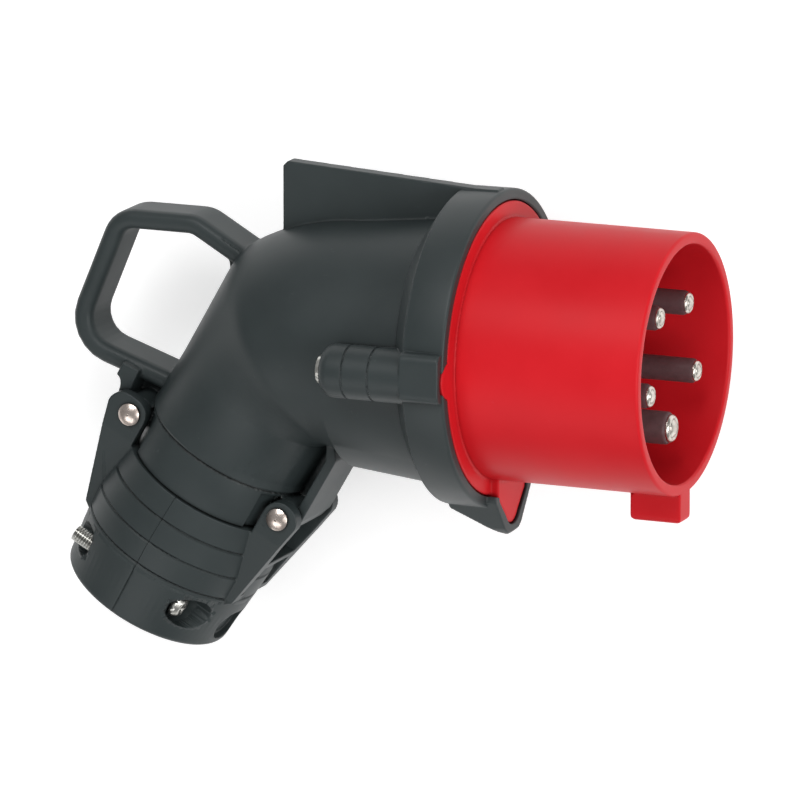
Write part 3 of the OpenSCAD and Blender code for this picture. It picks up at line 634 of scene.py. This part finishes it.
def make_jaw_rings(end, side):
    """The grooved outside of a jaw, from its top edge to below the lowest groove."""
    profile = [(JAW_TOP_R - 0.5, JAW_START), (JAW_TOP_R - 0.15, JAW_START + 0.04),
               (JAW_TOP_R + SKIN_PROUD, JAW_START + 0.3)]
    for k in (1, 2, 3):
        for step in (-1, 0, 1):
            s = JAW_START + k * JAW_PITCH + step * JAW_GROOVE
            profile.append((jaw_radius(s) + SKIN_PROUD - (0 if step else JAW_GROOVE), s))
    foot = JAW_START + 3 * JAW_PITCH + 0.9
    profile.append((jaw_radius(foot) + SKIN_PROUD, foot))
    rings = turned_skin(end + "_jaw_rings", profile, ALONG_CABLE)
    box = 80
    beyond = -side * (box / 2 - PARTING_GAP)
    cut_away(rings, cutting_box(ALONG_CABLE, (beyond, 0, 55), (box, box, 60)))
    give_finish(rings, shell, end + "_jaw", angle=20)


def make_shroud_skin():
    """The shroud's outside, rounded rim and inside."""
    outer_r = SHROUD_R + SKIN_PROUD
    inner_r = SHROUD_R - SHROUD_WALL - SKIN_PROUD
    lift = 0.02
    profile = [(outer_r, -SHROUD_LEN - 0.3)]
    profile += arc_steps(outer_r - RIM_R, lift - RIM_R, RIM_R, 0, 90, 5)
    profile += arc_steps(inner_r + RIM_R, lift - RIM_R, RIM_R, 90, 180, 5)
    profile += [(inner_r, -FLOOR_DEPTH + lift)]
    skin = turned_skin("shroud_skin", profile, ALONG_PLUG)
    give_finish(skin, red, "plug", angle=40)


def soft_min(a, b):
    return -CORNER_BLEND * math.log(math.exp(-a / CORNER_BLEND) + math.exp(-b / CORNER_BLEND))


def elbow_ring(t):
    """Centre x and z, turn in degrees and radius of the elbow at the share t of its bend."""
    turn = math.radians(BEND * t)
    near = BEND_R - BARREL_REAR_BOTTOM + (BARREL_REAR_BOTTOM - NECK_R) * t
    far = soft_min(BEND_R + BARREL_REAR_TOP,
                   (BEND_R + NECK_BACK_R) / math.cos(math.radians(BEND) - turn))
    middle = (near + far) / 2
    corner = BEND_R * math.tan(math.radians(BEND / 2)) - ELBOW_DIST
    return (corner - middle * math.sin(turn), middle * math.cos(turn) - BEND_R, BEND * t,
            (far - near) / 2)


def make_elbow_skin():
    """Barrel, elbow and neck down to the lip, ring by ring: centre x and z, turn and radius."""
    steps = 28
    rings = [(-COLLAR_BACK, (BARREL_FRONT_TOP - BARREL_FRONT_BOTTOM) / 2, 0,
              (BARREL_FRONT_TOP + BARREL_FRONT_BOTTOM) / 2)]
    rings += [elbow_ring(k / steps) for k in range(steps + 1)]
    lip = ((LIP_END - 2.5, ELBOW_END_R), (LIP_END - 0.5, ELBOW_END_R + 0.3),
           (LIP_END, ELBOW_END_R + 0.05), (LIP_END, ELBOW_END_R - 0.8))
    turn = math.radians(BEND)
    for s, lip_r in lip:
        rings.append((-ELBOW_DIST - s * math.cos(turn), -s * math.sin(turn), BEND, lip_r))
    x, z, angle, r = rings[0]
    skin = start_ring("elbow_skin", r + SKIN_PROUD, (x, 0, z), 120,
                      rotation=(0, math.radians(-90), 0))
    for next_x, next_z, next_angle, next_r in rings[1:]:
        shift = ((next_x - x) * MM, 0, (next_z - z) * MM)
        next_ring(shift, math.radians(next_angle - angle), (next_x * MM, 0, next_z * MM),
                  (next_r + SKIN_PROUD) / (r + SKIN_PROUD))
        x, z, angle, r = next_x, next_z, next_angle, next_r
    face_outwards()
    skin.data.transform(LAID)
    apply_modifier(skin, "SOLIDIFY", thickness=0.4 * MM, offset=-1)
    give_finish(skin, shell, "plug")


# Turned pieces

def make_side_screw(side, hand):
    """The grooved round boss behind the collar's side block, and the end of the screw in it."""
    place = side_screw_place(hand)
    r = BOSS_R + SKIN_PROUD
    nose = 3.1
    profile = arc_steps(r - nose, nose - BOSS_BACK - SKIN_PROUD, nose, -90, 0, 9)
    for k in (1, 2):
        groove = k * BOSS_RING - BOSS_BACK
        profile += [(r, groove - BOSS_GROOVE), (r - BOSS_GROOVE - 0.1, groove),
                    (r, groove + BOSS_GROOVE)]
    profile += [(r, -COLLAR_BACK - 0.1)]
    boss = turned_piece("screw_boss_" + side, profile, place, sides=96)
    give_finish(boss, shell, "plug", angle=35)
    shaft_r = 2
    end = [(SIDE_HEAD_R - 0.4, -BOSS_BACK - 1.2), (SIDE_HEAD_R - 0.05, -BOSS_BACK - 1.1),
           (SIDE_HEAD_R, -BOSS_BACK - 0.95), (SIDE_HEAD_R, -BOSS_BACK + 0.3),
           (shaft_r, -BOSS_BACK + 0.3), (shaft_r, -SHROUD_LEN - 4.5)]
    screw = turned_piece("housing_screw_" + side, end, place, sides=48)
    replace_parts(give_finish(screw, screw_steel, "plug", angle=50), "side_screw_" + side)


def make_thread(side, hand):
    """The ridged end of a clamp screw, where it comes out of the back jaw."""
    core_r, root_r, crest_r = 1.7, 1.78, SCREW_R + 0.03
    pitch = 0.7
    tip = SCREW_LEN - SCREW_SEAT - APART
    middle = Matrix.Translation((0, hand * SCREW_SPACING / 2 * MM, SCREW_S * MM))
    profile = [(core_r, tip - 9)]
    for k in range(12):
        ridge = tip - 8.9 + pitch * k
        profile += [(root_r, ridge), (crest_r, ridge + 0.25), (crest_r, ridge + 0.4),
                    (root_r, ridge + 0.65)]
    profile += [(core_r, tip - 0.3), (1.4, tip + 0.02)]
    thread = turned_piece("clamp_thread_" + side, profile,
                          ALONG_CABLE @ middle @ turned_about("Y", 90), sides=32)
    give_finish(thread, screw_steel, "clamp_screw_" + side, angle=20)


def make_pin(node, r):
    """A contact pin: a dark maroon shaft, which is painted reflection of the shroud's red inside
    and painted shade, and a bright tip with a ring round a low dome.

    The dome ends a fifth of the pin's radius short of the part's.
    """
    out = Matrix.Translation((0, PIN_CIRCLE / 2 * MM, 0))
    place = LAID @ turned_about("X", PIN_ANGLES[node]) @ out @ turned_about("Y", 90)
    neck = -TIP_DEPTH - 0.62 * r
    profile = [(r, -FLOOR_DEPTH - 1), (r, neck - 0.8), (0.88 * r, neck - 0.05), (0.8 * r, neck)]
    shaft = turned_piece(node + "_shaft", profile, place)
    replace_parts(give_finish(shaft, shaft_painted_reflection, "plug", angle=50), node)
    shoulder = arc_steps(0.58 * r, neck - 0.02 * r, 0.29 * r, 5, 70, 7)
    dome = arc_steps(0, neck - 0.33 * r, 0.75 * r, 48, 87, 7)
    profile = [(0.84 * r, neck - 0.5)] + shoulder + [(0.56 * r, neck + 0.17 * r)] + dome
    tip = turned_piece(node + "_tip", profile, place)
    give_finish(tip, nickel, "plug", angle=50)


def make_rivet(end, side):
    """A hinge rivet: a shaft with a domed head at both ends, a small dimple in each."""
    reach = EARS_W / 2 + APART
    top = reach + HINGE_HEAD_H
    rise = HINGE_HEAD_H * 0.72
    dome_r = (HINGE_HEAD_R ** 2 + rise ** 2) / (2 * rise)
    lip = math.degrees(math.acos(HINGE_HEAD_R / dome_r))
    half = [(HINGE_R, reach - 0.5), (HINGE_R, reach), (HINGE_HEAD_R - 0.12, reach),
            (HINGE_HEAD_R, reach + 0.15)]
    half += arc_steps(0, top - dome_r, dome_r, lip, 86.5, 9)
    half += [(0.28, top - 0.16), (0.05, top - 0.2)]
    profile = [(r, -h) for r, h in reversed(half)] + half
    middle = Matrix.Translation((side * HINGE_E * MM, 0, HINGE_S * MM))
    rivet = turned_piece(end + "_rivet", profile, ALONG_CABLE @ middle @ turned_about("X", 90),
                         sides=48)
    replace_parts(give_finish(rivet, rivet_steel, "plug", angle=40), end + "_hinge_pin")


# Making

look_through_camera()
light_studio()

bpy.ops.mesh.primitive_plane_add(size=4, location=(0, 0, cad_box[0][2]))
floor = bpy.context.active_object
floor.name = "paper_floor"
floor.data.materials.append(paper_floor())

slope_end = COLLAR_BACK + COLLAR_SLOPE
collar_bands = [((-COLLAR_BACK, COLLAR_R), (-SHROUD_LEN - 0.8, COLLAR_FRONT_R)),
                ((-slope_end, BARREL_FRONT_TOP + 0.3), (-COLLAR_BACK, COLLAR_R))]
neck_bands = [((ELBOW_END, BAND_R), (NECK_END, BAND_R)),
              ((ELBOW_END, CHEEK_R), (NECK_END, CHEEK_R))]
under_lip = [((LIP_END + 0.6, CHEEK_R), (ELBOW_END + 0.4, CHEEK_R))]
behind_lip = [((LIP_END - 0.4, CHEEK_R - 0.6), (LIP_END + 0.6, CHEEK_R - 0.6))]
moulded_copy(["housing", "collar", "fin", "handle"], "grey_shell", shell, "plug",
             ALONG_PLUG, SHELL_VOXEL,
             [(ALONG_PLUG, collar_bands, ROUND_REACH), (ALONG_CABLE, neck_bands, ROUND_REACH),
              (ALONG_CABLE, under_lip, 0.6), (ALONG_CABLE, behind_lip, 1.2)])
make_elbow_skin()
make_neck_skin()
make_collar_skin()
sunk = 0.05
outer_r, inner_r = SHROUD_R - sunk, SHROUD_R - SHROUD_WALL + sunk
shroud_bands = [((-SHROUD_LEN, outer_r), (-RIM_R, outer_r)),
                ((-FLOOR_DEPTH, inner_r), (-RIM_R, inner_r))]
moulded_copy(["contact_carrier"], "red_carrier", red, "plug", ALONG_PLUG,
             SHELL_VOXEL, [(ALONG_PLUG, shroud_bands, ROUND_REACH)])
make_shroud_skin()
jaw_bands = [((JAW_START, JAW_TOP_R), (JAW_WIDEST, JAW_R)),
             ((JAW_WIDEST, JAW_R), (JAW_END, JAW_END_R))]
for end in ("back", "front"):
    jaw = end + "_jaw"
    piece = moulded_copy([jaw], end + "_clamp_jaw", shell, jaw, ALONG_CABLE, JAW_VOXEL,
                         [(ALONG_CABLE, jaw_bands, ROUND_REACH)], rounds=3, flats=False)
    press_parting(piece, ALONG_CABLE)
make_jaw_rings("back", 1)
make_jaw_rings("front", -1)
smoothed_copy("slip_ring", "neck_slip_ring", shell, "plug")
smoothed_copy("cable_seal", "neck_cable_seal", rubber, "plug")
for pin in PIN_ANGLES:
    make_pin(pin, EARTH_R if pin == "earth_pin" else PIN_R)
make_rivet("back", 1)
make_rivet("front", -1)
for side, hand in (("near", -1), ("far", 1)):
    make_side_screw(side, hand)
    make_thread(side, hand)
    for kind in ("screw", "nut"):
        node = "clamp_" + kind + "_" + side
        smoothed_copy(node, "clamping_" + kind + "_" + side, screw_steel, node)

inner = {"contact_retainer": red, "flange_gasket": rubber, "retainer_screw": screw_steel}
for name in nodes:
    if name.endswith("terminal_screws"):
        inner[name] = screw_steel
for name, material in inner.items():
    for slot in nodes[name].material_slots:
        slot.material = material
